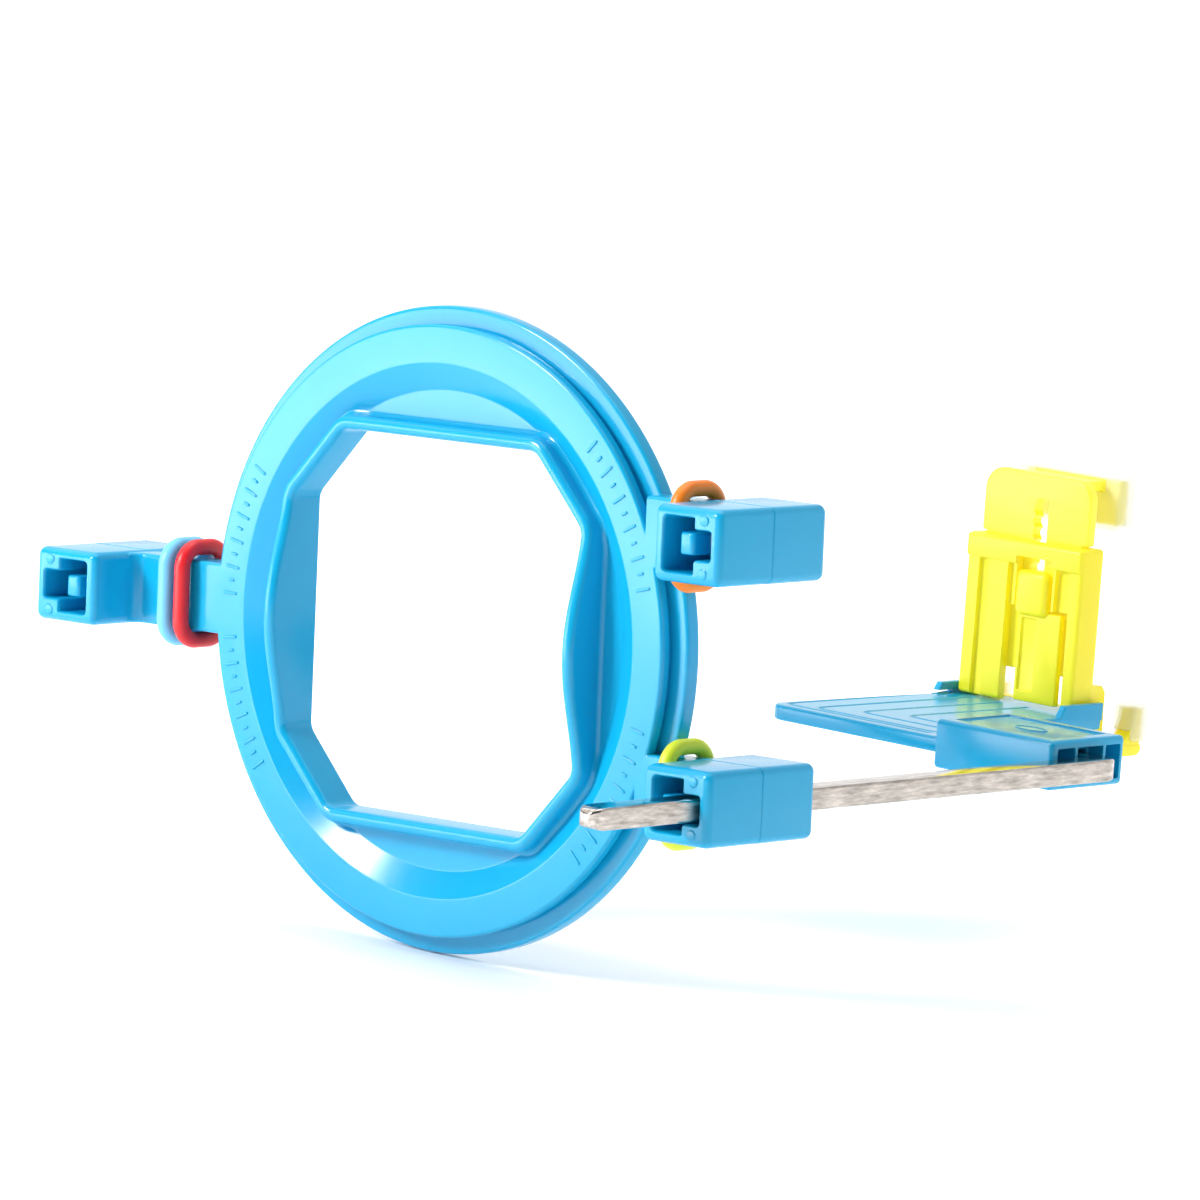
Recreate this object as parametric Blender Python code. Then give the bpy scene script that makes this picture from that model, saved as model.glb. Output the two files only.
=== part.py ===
"""Aiming ring, indicator arm, bite block and sensor clamp of a dental X-ray
sensor positioner.

Units are metres, +Z up.  All the named sizes below are in millimetres and are
turned into metres by MM.  The arm runs along +Y, the ring faces -Y, and the
sensor clamp stands at the +Y end.  Three sets of local coordinates are used:

  ring    x to the right, z up, origin at the ring's centre on its front plane
  holder  origin on the arm's centre line, y counted from the ring's front plane
  world   the final place: floor at z = 0, bounding box centred on x = y = 0
"""
import math
import bpy
import bmesh
from mathutils import Matrix, Vector

MM = 0.001

# ------------------------------------------------------------------ layout
ARM_X, ARM_Y0, ARM_Z = 61.2875, -46.90, 29.7293      # arm axis and ring plane in world, mm
RING_IN_HOLDER = (-56.22, 0.0, 15.26)            # ring centre, holder coordinates
RING_TURN = math.radians(-2.5)                   # ring sits turned a little on its arm

# ------------------------------------------------------------------ ring
R_FACE = 42.5            # front flange radius
R_FLANGE = 45.0          # rear flange radius
R_GROOVE = 41.7          # groove between the two flanges
R_DISH_OUT = 37.2        # where the front face turns down into the dish
R_DISH_IN = 33.4         # where the dish meets its flat floor
Y_FLOOR = 2.0            # dish floor
Y_BACK = 5.0             # back of the rear flange
DISH_SKIN = 1.9
RING_SEGMENTS = 96
OPEN_HALF_W = 27.5       # eight-sided opening, half width
OPEN_HALF_H = 26.6       # half height
OPEN_CORNER_Z = 16.6     # upright sides end here
OPEN_CORNER_X = 18.2     # level sides end here
OPEN_RADIUS = 2.6        # corner radius
COLLAR_WALL = 2.0
COLLAR_FRONT = -1.1      # collar rim, ahead of the front plane
COLLAR_BULGE = 3.1       # extra reach at mid height
NECK_HALF_H = 5.0
NECK_Y0, NECK_Y1 = 0.03, 4.97
NECK_ROUND = 1.3

# ------------------------------------------------------------------ sockets
BLOCK_W, BLOCK_H = 12.0, 10.4
BLOCK_Y0, BLOCK_Y1 = -8.5, 13.3
BLOCK_ROUND = 1.1
BLOCK_X = 47.7           # inner side of the right-hand blocks
BLOCK_XL = 58.6          # inner side of the left-hand block, to the left
SOCKETS = {              # name: (inner side x, side sign, centre z, slot z, seam x)
    "socket_upper": (BLOCK_X, 1, 17.5, 17.65, 45.6),
    "socket_lower": (BLOCK_X, 1, -17.6, -17.83, 45.6),
    "socket_left": (BLOCK_XL, -1, 0.3, 0.3, 47.6),
}
HOLE_IN, HOLE_MID, HOLE_OUT = 1.8, 7.2, 10.25    # from the block's inner side
HOLE_HALF_H = 3.75
SLOT_HALF_H = 2.0
REAR_WALL_Y = 11.3
TONGUE_IN, TONGUE_OUT = 3.95, 6.6
TONGUE_LEAF = 1.3
TONGUE_HALF_H = 1.5
TONGUE_Y0, TONGUE_Y1 = -7.7, 10.95
TONGUE_PRESSED = 4.6     # degrees the tongue beside the arm is pushed aside

# ------------------------------------------------------------------ bands
BANDS = {                # name: (x, centre z, tube radius, half height, half depth, colour)
    "band_orange": (45.75, 17.5, 1.12, 6.50, 4.20, (0.95, 0.20, 0.02)),
    "band_lime": (45.65, -17.6, 1.12, 6.50, 4.20, (0.62, 0.80, 0.06)),
    "band_red": (-47.9, 0.4, 1.15, 6.60, 4.25, (0.80, 0.01, 0.02)),
    "band_sky": (-51.1, 0.4, 1.15, 6.60, 4.25, (0.20, 0.66, 0.95)),
}
BAND_CENTRE_Y = 2.5

# ------------------------------------------------------------------ arm
ARM_W, ARM_H = 4.0, 3.1
ARM_EDGE = 0.45
ARM_TIP_Y = -28.2
ARM_TIP_LEN = 1.9
PRONG_Y = 79.4
PRONG_END_X = -18.0
BEND_R = 2.15

# ------------------------------------------------------------------ bite block
PLATE_TOP, PLATE_BOTTOM = 1.27, -0.95
PLATE_EDGE = 0.45
PLATE_OUTLINE = [(-56.3, 71.1), (-24.62, 71.1), (-24.62, 86.9), (-28.7, 93.0),
                 (-28.7, 114.0), (-53.5, 114.0), (-53.5, 104.0)]
PLATE_RADII = [2.6, 0.6, 1.5, 4.0, 0.8, 0.8, 6.0]
RAIL_Y0, RAIL_Y1, RAIL_TOP = 104.0, 114.0, 2.95
RAIL_T = 1.2
BOX_X0, BOX_X1 = -24.3, -2.5
BOX_Y0, BOX_Y1 = 71.0, 87.0
BOX_Z0, BOX_Z1 = -3.15, 3.9

# ------------------------------------------------------------------ sensor clamp
BODY_X0, BODY_X1 = -52.0, -30.2
BODY_Y0, BODY_Y1 = 108.3, 113.3
BODY_Z0, BODY_Z1 = 1.57, 25.4
FRONT_T, SIDE_T = 1.4, 1.5
LEVER_X0, LEVER_X1 = -41.5, -33.6
PAWL_HINGE_Z = 2.7
SLIDE_Y0, SLIDE_Y1 = 110.1, 111.9
HEAD_X0, HEAD_X1 = -51.1, -31.1
HEAD_Z0, HEAD_Z1 = 25.7, 35.2
TONGUE_PLATE_Z0 = 6.3
RACK_X0, RACK_X1 = -41.5, -38.8
RACK_Z0, RACK_Z1 = 8.3, 31.6
RACK_PITCH, RACK_TOOTH = 1.7, 0.5
LIP_X0, LIP_X1 = -50.8, -33.0
LIP_Y0, LIP_Y1 = 118.9, 121.0
LIP_Z0, LIP_Z1 = 28.3, 34.6

BLUE = (0.020, 0.400, 0.800)
YELLOW = (0.95, 0.85, 0.03)
MILKY = (0.90, 0.90, 0.78)
STEEL = (0.62, 0.59, 0.55)


# ------------------------------------------------------------------ helpers
for old in list(bpy.data.objects):
    bpy.data.objects.remove(old, do_unlink=True)
for col in list(bpy.data.collections):
    bpy.data.collections.remove(col)

scene = bpy.context.scene
parts_col = bpy.data.collections.new("parts")
scene.collection.children.link(parts_col)
cutters_col = bpy.data.collections.new("cutters")
scene.collection.children.link(cutters_col)

HOLDER_M = Matrix.Translation(Vector((ARM_X, ARM_Y0, ARM_Z)) * MM)
RING_M = (HOLDER_M @ Matrix.Translation(Vector(RING_IN_HOLDER) * MM)
          @ Matrix.Rotation(RING_TURN, 4, 'Y'))


def material(name, colour, rough, metal=0.0):
    mat = bpy.data.materials.new(name)
    mat.use_nodes = True
    bsdf = mat.node_tree.nodes["Principled BSDF"]
    bsdf.inputs["Base Color"].default_value = (*colour, 1.0)
    bsdf.inputs["Roughness"].default_value = rough
    bsdf.inputs["Metallic"].default_value = metal
    mat.diffuse_color = (*colour, 1.0)
    return mat


def finish(name, bm, frame, colour=None, rough=0.3, metal=0.0, origin=(0, 0, 0), cutter=False):
    """Turn a bmesh in millimetres into an object placed by its frame."""
    bmesh.ops.remove_doubles(bm, verts=bm.verts, dist=0.0005)
    bmesh.ops.recalc_face_normals(bm, faces=bm.faces)
    o = Vector(origin)
    for v in bm.verts:
        v.co = (v.co - o) * MM
    mesh = bpy.data.meshes.new(name)
    bm.to_mesh(mesh)
    bm.free()
    obj = bpy.data.objects.new(name, mesh)
    (cutters_col if cutter else parts_col).objects.link(obj)
    obj.matrix_world = frame @ Matrix.Translation(o * MM)
    if cutter:
        obj.hide_render = True
        obj.display_type = 'WIRE'
    else:
        mesh.materials.append(material(name, colour, rough, metal))
    return obj


def boolean(obj, other, mode):
    mod = obj.modifiers.new(other.name, 'BOOLEAN')
    mod.operation = mode
    mod.solver = 'EXACT'
    mod.object = other
    return mod


def add_box(bm, x0, x1, y0, y1, z0, z1, bevel=0.0, segs=2):
    """Add a box to a bmesh, with all of its edges rounded."""
    tmp = bmesh.new()
    bmesh.ops.create_cube(tmp, size=1.0)
    for v in tmp.verts:
        v.co = Vector(((x0 + x1) / 2 + v.co.x * (x1 - x0),
                       (y0 + y1) / 2 + v.co.y * (y1 - y0),
                       (z0 + z1) / 2 + v.co.z * (z1 - z0)))
    if bevel > 0:
        bmesh.ops.bevel(tmp, geom=list(tmp.edges), offset=bevel, offset_type='OFFSET',
                        segments=segs, profile=0.5, affect='EDGES', clamp_overlap=True)
    mesh = bpy.data.meshes.new("tmp_box")
    tmp.to_mesh(mesh)
    tmp.free()
    bm.from_mesh(mesh)
    bpy.data.meshes.remove(mesh)


def box_obj(name, frame, dims, bevel=0.0, segs=2, **kw):
    bm = bmesh.new()
    add_box(bm, *dims, bevel=bevel, segs=segs)
    return finish(name, bm, frame, **kw)


def round_corners(pts, radii, segs=5):
    """Round the corners of a closed outline of (a, b) points."""
    out = []
    n = len(pts)
    for i in range(n):
        p = Vector(pts[i])
        a = (Vector(pts[i - 1]) - p)
        b = (Vector(pts[(i + 1) % n]) - p)
        la, lb = a.length, b.length
        a.normalize()
        b.normalize()
        r = radii[i] if isinstance(radii, (list, tuple)) else radii
        ang = a.angle(b)
        if r <= 0 or ang > math.pi - 0.01:
            out.append(tuple(p))
            continue
        t = min(r / math.tan(ang / 2), la * 0.49, lb * 0.49)
        r = t * math.tan(ang / 2)
        c = p + (a + b).normalized() * (r / math.sin(ang / 2))
        s = p + a * t - c
        e = p + b * t - c
        sweep = s.angle(e)
        sign = 1 if s.x * e.y - s.y * e.x > 0 else -1
        for k in range(segs + 1):
            th = sign * sweep * k / segs
            out.append((c.x + s.x * math.cos(th) - s.y * math.sin(th),
                        c.y + s.x * math.sin(th) + s.y * math.cos(th)))
    return out


def outward(pts):
    """Outward offset direction of each point of a closed outline, mitred."""
    n = len(pts)
    area = sum(pts[i][0] * pts[(i + 1) % n][1] - pts[(i + 1) % n][0] * pts[i][1] for i in range(n))
    s = 1 if area > 0 else -1
    out = []
    for i in range(n):
        p, a, b = Vector(pts[i]), Vector(pts[i - 1]), Vector(pts[(i + 1) % n])
        d1 = (p - a).normalized()
        d2 = (b - p).normalized()
        n1 = Vector((d1.y, -d1.x)) * s
        n2 = Vector((d2.y, -d2.x)) * s
        m = (n1 + n2).normalized()
        out.append(m / max(0.5, m.dot(n1)))
    return out


def loft(bm, rings, cap=True):
    """Skin a list of equally long rings of 3-D points, closing each ring."""
    vs = [[bm.verts.new(p) for p in ring] for ring in rings]
    n = len(vs[0])
    for a, b in zip(vs[:-1], vs[1:]):
        for i in range(n):
            bm.faces.new((a[i], a[(i + 1) % n], b[(i + 1) % n], b[i]))
    if cap:
        bm.faces.new(vs[0])
        bm.faces.new(list(reversed(vs[-1])))
    else:
        a, b = vs[-1], vs[0]
        for i in range(n):
            bm.faces.new((a[i], a[(i + 1) % n], b[(i + 1) % n], b[i]))


def prism(bm, outline, plane, lo, hi, edge=0.0):
    """Extrude an (a, b) outline; plane is 'XY' (along z) or 'XZ' (along y) or 'YZ' (along x)."""
    norm = outward(outline)

    def put(pt, h):
        if plane == 'XY':
            return (pt[0], pt[1], h)
        if plane == 'XZ':
            return (pt[0], h, pt[1])
        return (h, pt[0], pt[1])
    levels = [(lo, 0.0), (hi, 0.0)] if edge <= 0 else [
        (lo, -edge), (lo + edge * 0.3, -edge * 0.3), (lo + edge, 0.0),
        (hi - edge, 0.0), (hi - edge * 0.3, -edge * 0.3), (hi, -edge)]
    rings = []
    for h, off in levels:
        rings.append([put((p[0] + d.x * off, p[1] + d.y * off), h) for p, d in zip(outline, norm)])
    loft(bm, rings)


def prism_obj(name, frame, outline, plane, lo, hi, edge=0.0, **kw):
    bm = bmesh.new()
    prism(bm, outline, plane, lo, hi, edge)
    return finish(name, bm, frame, **kw)


def neck_outline(zc):
    return round_corners([(NECK_Y0, zc - NECK_HALF_H), (NECK_Y1, zc - NECK_HALF_H),
                          (NECK_Y1, zc + NECK_HALF_H), (NECK_Y0, zc + NECK_HALF_H)], NECK_ROUND, 4)


# ------------------------------------------------------------------ aiming ring
def opening_outline(segs=5):
    w, h, cz, cx = OPEN_HALF_W, OPEN_HALF_H, OPEN_CORNER_Z, OPEN_CORNER_X
    pts = [(w, -cz), (w, cz), (cx, h), (-cx, h), (-w, cz), (-w, -cz), (-cx, -h), (cx, -h)]
    pts = round_corners(pts, OPEN_RADIUS, segs)
    # split the upright sides so that the rim can bulge at mid height
    out = []
    n = len(pts)
    for i in range(n):
        a, b = Vector(pts[i]), Vector(pts[(i + 1) % n])
        out.append(tuple(a))
        steps = int((b - a).length // 2.6)
        for k in range(1, steps):
            out.append(tuple(a.lerp(b, k / steps)))
    return out


def rim_y(z):
    t = min(1.0, abs(z) / 19.0)
    return COLLAR_FRONT - COLLAR_BULGE * math.cos(t * math.pi / 2) ** 2


def revolve(profile, segs):
    bm = bmesh.new()
    rings = []
    for r, y in profile:
        if r <= 0:
            rings.append([bm.verts.new((0, y, 0))])
        else:
            rings.append([bm.verts.new((r * math.cos(2 * math.pi * k / segs), y,
                                        r * math.sin(2 * math.pi * k / segs))) for k in range(segs)])
    for a, b in zip(rings[:-1], rings[1:]):
        for k in range(segs):
            k2 = (k + 1) % segs
            if len(a) == 1:
                bm.faces.new((a[0], b[k2], b[k]))
            elif len(b) == 1:
                bm.faces.new((a[k], a[k2], b[0]))
            else:
                bm.faces.new((a[k], a[k2], b[k2], b[k]))
    return bm


RING_PROFILE = [
    (0, Y_FLOOR), (R_DISH_IN - 0.5, Y_FLOOR), (R_DISH_IN + 0.4, Y_FLOOR - 0.15),
    (R_DISH_OUT - 0.6, 0.25), (R_DISH_OUT + 0.1, 0.0),
    (R_FACE - 0.55, 0.0), (R_FACE - 0.15, 0.16), (R_FACE, 0.55), (R_FACE, 1.55),
    (R_GROOVE, 1.65), (R_GROOVE, 2.45),
    (R_FLANGE - 0.55, 2.5), (R_FLANGE - 0.15, 2.65), (R_FLANGE, 3.05),
    (R_FLANGE, 4.55), (R_FLANGE - 0.4, Y_BACK), (39.4, Y_BACK), (38.0, Y_FLOOR + DISH_SKIN),
    (0, Y_FLOOR + DISH_SKIN)]

ring = finish("aiming_ring", revolve(RING_PROFILE, RING_SEGMENTS), RING_M, BLUE, 0.22)

inner = opening_outline()
nrm = outward(inner)
hole = prism_obj("cut_opening", RING_M,
                 [(p[0] + d.x * 1.0, p[1] + d.y * 1.0) for p, d in zip(inner, nrm)],
                 'XZ', -12.0, 12.0, cutter=True)
boolean(ring, hole, 'DIFFERENCE')

for tag, x0, x1, zc in (("upper", 36.5, 45.6, 17.5), ("lower", 36.5, 45.6, -17.6),
                        ("left", -47.6, -38.5, 0.3)):
    neck = prism_obj("neck_" + tag, RING_M, neck_outline(zc), 'YZ', x0, x1, cutter=True)
    boolean(ring, neck, 'UNION')

bm = bmesh.new()
sections = []
for (x, z), d in zip(inner, nrm):
    yf = rim_y(z)
    w = COLLAR_WALL
    prof = [(0.0, Y_BACK), (0.0, yf + 1.0)]
    for k in range(1, 6):
        a = math.pi * k / 6
        prof.append((w / 2 - w / 2 * math.cos(a), yf + 1.0 - 1.0 * math.sin(a)))
    prof += [(w, yf + 1.0), (w, Y_BACK)]
    sections.append([(x + d.x * o, y, z + d.y * o) for o, y in prof])
loft(bm, sections, cap=False)
collar = finish("collar_wall", bm, RING_M, cutter=True)
boolean(ring, collar, 'UNION')

# ------------------------------------------------------------------ arm sockets
for name, (xin, side, zc, zs, seam) in SOCKETS.items():
    def sx(a):
        return side * (xin + a)
    xa, xb = sorted((sx(0), sx(BLOCK_W)))
    block = box_obj(name, RING_M, (xa, xb, BLOCK_Y0, BLOCK_Y1, zc - BLOCK_H / 2, zc + BLOCK_H / 2),
                    bevel=BLOCK_ROUND, segs=3, colour=BLUE, rough=0.24)
    xa, xb = sorted((side * (seam + 0.3), sx(1.4)))
    stub = prism_obj(name + "_stub", RING_M, neck_outline(zc), 'YZ', xa, xb, cutter=True)
    boolean(block, stub, 'UNION')
    tee = [(sx(HOLE_IN), zc - HOLE_HALF_H), (sx(HOLE_MID), zc - HOLE_HALF_H),
           (sx(HOLE_MID), zs - SLOT_HALF_H), (sx(HOLE_OUT), zs - SLOT_HALF_H),
           (sx(HOLE_OUT), zs + SLOT_HALF_H), (sx(HOLE_MID), zs + SLOT_HALF_H),
           (sx(HOLE_MID), zc + HOLE_HALF_H), (sx(HOLE_IN), zc + HOLE_HALF_H)]
    boolean(block, prism_obj(name + "_bore", RING_M, tee, 'XZ', BLOCK_Y0 - 3, REAR_WALL_Y, cutter=True),
            'DIFFERENCE')
    xa, xb = sorted((sx(5.3), sx(HOLE_OUT)))
    boolean(block, box_obj(name + "_exit", RING_M,
                           (xa, xb, REAR_WALL_Y - 0.5, BLOCK_Y1 + 3, zs - SLOT_HALF_H, zs + SLOT_HALF_H),
                           cutter=True), 'DIFFERENCE')

    # spring tongue that presses the arm against the outer side of its slot
    root = (sx(TONGUE_IN + TONGUE_LEAF / 2), TONGUE_Y1 - 0.4, zs)
    shape = [(TONGUE_IN, TONGUE_Y0 + 0.7), (TONGUE_IN + 0.6, TONGUE_Y0), (TONGUE_OUT - 0.6, TONGUE_Y0),
             (TONGUE_OUT, TONGUE_Y0 + 0.7), (TONGUE_OUT, TONGUE_Y0 + 3.4),
             (TONGUE_IN + TONGUE_LEAF, TONGUE_Y0 + 6.4), (TONGUE_IN + TONGUE_LEAF, TONGUE_Y1),
             (TONGUE_IN, TONGUE_Y1)]
    bm = bmesh.new()
    prism(bm, [(sx(a), b) for a, b in shape], 'XY', zs - TONGUE_HALF_H, zs + TONGUE_HALF_H, edge=0.25)
    tongue = finish("tongue_" + name.split("_")[1], bm, RING_M, BLUE, 0.24, origin=root)
    if name == "socket_lower":
        tongue.matrix_world = tongue.matrix_world @ Matrix.Rotation(math.radians(-TONGUE_PRESSED), 4, 'Z')

# ------------------------------------------------------------------ colour bands
for name, (x, zc, r, hh, hd, colour) in BANDS.items():
    path = round_corners([(BAND_CENTRE_Y - hd, zc - hh), (BAND_CENTRE_Y + hd, zc - hh),
                          (BAND_CENTRE_Y + hd, zc + hh), (BAND_CENTRE_Y - hd, zc + hh)], 3.0, 7)
    d = outward(path)
    bm = bmesh.new()
    sections = []
    for (y, z), n2 in zip(path, d):
        n2 = n2.normalized()
        sections.append([(x + r * math.sin(2 * math.pi * k / 12),
                          y + n2.x * r * math.cos(2 * math.pi * k / 12),
                          z + n2.y * r * math.cos(2 * math.pi * k / 12)) for k in range(12)])
    loft(bm, sections, cap=False)
    finish(name, bm, RING_M, colour, 0.45)

# ------------------------------------------------------------------ indicator arm
def arm_section():
    w, h, e = ARM_W / 2, ARM_H / 2, ARM_EDGE
    return round_corners([(-w, -h), (w, -h), (w, h), (-w, h)], e, 3)


sec = arm_section()
rings = []
for k in range(7):                                   # domed tip
    t = k / 6
    s = math.sin(t * math.pi / 2) ** 0.8 if k else 0.12
    y = ARM_TIP_Y + ARM_TIP_LEN * (1 - math.cos(t * math.pi / 2))
    rings.append([(a * max(s, 0.12), y, b * max(s, 0.12)) for a, b in sec])
rings.append([(a, PRONG_Y - BEND_R, b) for a, b in sec])
for k in range(1, 11):                               # bend towards -x
    th = math.pi / 2 * k / 10
    cx, cy = -BEND_R, PRONG_Y - BEND_R
    rings.append([(cx + (BEND_R + a) * math.cos(th), cy + (BEND_R + a) * math.sin(th), b) for a, b in sec])
rings.append([(PRONG_END_X + 0.5, PRONG_Y + a, b) for a, b in sec])
rings.append([(PRONG_END_X, PRONG_Y + a * 0.8, b * 0.8) for a, b in sec])
bm = bmesh.new()
loft(bm, rings)
finish("indicator_arm", bm, HOLDER_M, STEEL, 0.28, 1.0)

# ------------------------------------------------------------------ bite block
outline = round_corners(PLATE_OUTLINE, PLATE_RADII, 5)
plate = prism_obj("bite_plate", HOLDER_M, outline, 'XY', PLATE_BOTTOM, PLATE_TOP, edge=PLATE_EDGE,
                  colour=BLUE, rough=0.25)
for tag, x0 in (("left", -53.5), ("right", -28.7 - RAIL_T)):
    side_view = [(RAIL_Y0, PLATE_TOP - 0.9), (RAIL_Y1, PLATE_TOP - 0.9), (RAIL_Y1, RAIL_TOP),
                 (RAIL_Y0 + 1.0, RAIL_TOP), (RAIL_Y0 + 0.2, PLATE_TOP)]
    rail = prism_obj("rail_" + tag, HOLDER_M, side_view, 'YZ', x0 + 0.02, x0 + RAIL_T - 0.02, cutter=True)
    boolean(plate, rail, 'UNION')

box = box_obj("arm_socket_box", HOLDER_M, (BOX_X0, BOX_X1, BOX_Y0, BOX_Y1, BOX_Z0, BOX_Z1),
              bevel=0.6, segs=2, colour=BLUE, rough=0.25)
for tag, dims in (("a", (-10.0, 0.0, 72.2, 76.0, -2.15, 2.75)),
                  ("b", (-10.0, 0.0, 82.75, 86.0, -2.15, 2.75)),
                  ("c", (-5.2, 0.0, 76.8, 81.95, -2.15, 2.75)),
                  ("d", (-20.5, -5.0, 77.05, 81.75, -1.9, 1.9))):
    boolean(box, box_obj("cut_box_" + tag, HOLDER_M, dims, cutter=True), 'DIFFERENCE')

# ------------------------------------------------------------------ sensor clamp
body = box_obj("clamp_body", HOLDER_M, (BODY_X0, BODY_X1, BODY_Y0, BODY_Y1, BODY_Z0, BODY_Z1),
               bevel=0.5, segs=2, colour=YELLOW, rough=0.4)
rib = box_obj("top_band", HOLDER_M, (BODY_X0 + 0.1, BODY_X1 - 0.1, BODY_Y0 - 0.4, BODY_Y0 + 0.6, 22.2, 25.2),
              bevel=0.3, cutter=True)
boolean(body, rib, 'UNION')
for tag, dims in (("channel", (BODY_X0 + SIDE_T, BODY_X1 - SIDE_T, BODY_Y0 + FRONT_T, 112.3, -2.0, 30.0)),
                  ("rear", (-47.6, -34.6, 112.0, 116.0, -2.0, 30.0)),
                  ("lever", (-44.1, -32.2, 106.0, 110.3, -2.0, 15.7)),
                  ("window", (-42.4, -35.5, 106.0, 110.3, 15.0, 23.1))):
    boolean(body, box_obj("cut_body_" + tag, HOLDER_M, dims, cutter=True), 'DIFFERENCE')
# jaw that grips the rear edge of the bite plate from above, behind and below
jaw = prism_obj("clamp_jaw", HOLDER_M,
                [(114.35, 1.2), (114.35, -1.27), (107.0, -1.27), (106.4, -2.1), (107.0, -2.7),
                 (114.35, -2.7), (114.35, -4.8), (116.0, -4.8), (116.0, 1.2)],
                'YZ', -51.95, -30.25, cutter=True)
for tag, x0, x1 in (("left", -51.93, -50.0), ("right", -34.6, -30.27)):
    leg = prism_obj("clamp_leg_" + tag, HOLDER_M,
                    [(112.4, 1.62), (114.38, 1.62), (114.38, 0.4), (115.97, 0.4), (115.97, 4.2), (115.2, 5.2),
                     (112.4, 5.2)], 'YZ', x0, x1, cutter=True)
    boolean(jaw, leg, 'UNION')
boolean(body, jaw, 'UNION')
shelf_profile = [(114.36, -4.84), (120.2, -4.84), (121.0, -4.2), (121.0, -3.3), (114.36, -3.3)]
shelf = prism_obj("clamp_shelf", HOLDER_M, shelf_profile, 'YZ', -55.3, -26.9, cutter=True)
boolean(body, shelf, 'UNION')
for tag, x0, x1 in (("right", -29.5, -26.95), ("left", -55.25, -52.7)):
    prong = prism_obj("prong_" + tag, HOLDER_M,
                      [(114.8, -4.0), (120.9, -4.0), (120.9, 1.9), (119.2, 1.9), (119.0, 0.4),
                       (118.2, -1.4), (116.6, -2.9)], 'YZ', x0, x1, cutter=True)
    boolean(body, prong, 'UNION')
    pad = box_obj("lower_pad_" + tag, HOLDER_M, (x0 - 0.75, x1 + 0.75, 118.0, 121.9, -2.9, 2.75),
                  bevel=0.7, segs=2, colour=MILKY, rough=0.5)
    pocket = prism_obj("cut_pad_" + tag, HOLDER_M,
                       [(117.0, -5.0), (121.2, -5.0), (121.2, 2.2), (118.95, 2.2), (118.65, 0.5),
                        (117.85, -1.3), (117.0, -2.2)], 'YZ', x0 - 0.3, x1 + 0.3, cutter=True)
    boolean(pad, pocket, 'DIFFERENCE')

# pawl lever with its thumb button, hinged at its foot
lever = box_obj("pawl_lever", HOLDER_M, (LEVER_X0, LEVER_X1, BODY_Y0 + 0.15, 109.65, 1.9, 15.3),
                bevel=0.3, segs=1, colour=YELLOW, rough=0.4, origin=(-36.9, 109.1, PAWL_HINGE_Z))
button = box_obj("pawl_button", HOLDER_M, (-41.9, -36.1, 107.5, 109.6, 14.6, 21.2), bevel=0.8, segs=3,
                 cutter=True)
boolean(lever, button, 'UNION')
tooth = box_obj("pawl_tooth", HOLDER_M, (-40.6, -39.2, 109.2, 111.6, 20.0, 21.0), cutter=True)
boolean(lever, tooth, 'UNION')

# slider: plate, rack slot, hook and lip in one piece
head = round_corners([(HEAD_X0, HEAD_Z0), (HEAD_X1, HEAD_Z0), (HEAD_X1, HEAD_Z1), (HEAD_X0, HEAD_Z1)],
                     [0, 0, 3.2, 3.2], 6)
slider = prism_obj("ratchet_slider", HOLDER_M, head, 'XZ', SLIDE_Y0, SLIDE_Y1, edge=0.25,
                   colour=YELLOW, rough=0.4)
blade = box_obj("slider_blade", HOLDER_M, (-50.1, -32.1, SLIDE_Y0 + 0.02, SLIDE_Y1 - 0.02,
                                           TONGUE_PLATE_Z0, HEAD_Z0 + 2), cutter=True)
boolean(slider, blade, 'UNION')
rack = [(RACK_X1, RACK_Z0), (RACK_X1, RACK_Z1), (RACK_X0 + 0.6, RACK_Z1), (RACK_X0, RACK_Z1 - 1.4)]
z = RACK_Z1 - 2.6
while z > RACK_Z0 + 2.0:
    rack += [(RACK_X0, z + 0.55), (RACK_X0 + RACK_TOOTH, z), (RACK_X0, z - 0.55)]
    z -= RACK_PITCH
rack += [(RACK_X0, RACK_Z0)]
boolean(slider, prism_obj("cut_rack", HOLDER_M, rack, 'XZ', 108.0, 114.0, cutter=True), 'DIFFERENCE')
hook_profile = [(SLIDE_Y0 + 0.9, 33.2), (LIP_Y0, 33.2), (LIP_Y0, LIP_Z0), (LIP_Y1, LIP_Z0), (LIP_Y1, LIP_Z1 - 0.6),
                (LIP_Y1 - 0.6, LIP_Z1), (SLIDE_Y0 + 0.9, LIP_Z1)]
bm = bmesh.new()
prism(bm, [p for p in hook_profile], 'YZ', -48.2, -35.2)
hook = finish("slider_hook", bm, HOLDER_M, cutter=True)
boolean(slider, hook, 'UNION')
lip = box_obj("slider_lip", HOLDER_M, (LIP_X0, LIP_X1, LIP_Y0 - 0.02, LIP_Y1 + 0.02, LIP_Z0 - 0.02, LIP_Z1 + 0.02),
              bevel=0.5, cutter=True)
boolean(slider, lip, 'UNION')

pad = box_obj("upper_pad", HOLDER_M, (LIP_X0 - 0.95, LIP_X1 + 0.95, LIP_Y0 - 0.95, LIP_Y1 + 1.0,
                                      LIP_Z0 - 1.0, LIP_Z1 + 0.85),
              bevel=0.9, segs=3, colour=MILKY, rough=0.5)
boolean(pad, box_obj("cut_pad_core", HOLDER_M, (LIP_X0 - 0.3, LIP_X1 + 0.3, LIP_Y0 - 0.32, LIP_Y1 + 0.32,
                                                LIP_Z0 - 0.32, LIP_Z1 + 0.32), cutter=True), 'DIFFERENCE')
boolean(pad, box_obj("cut_pad_arm", HOLDER_M, (-48.5, -34.9, 116.0, 119.5, 32.9, LIP_Z1 + 0.32), cutter=True),
        'DIFFERENCE')
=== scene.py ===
import math
import bpy
import bmesh
from mathutils import Matrix, Vector


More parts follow.
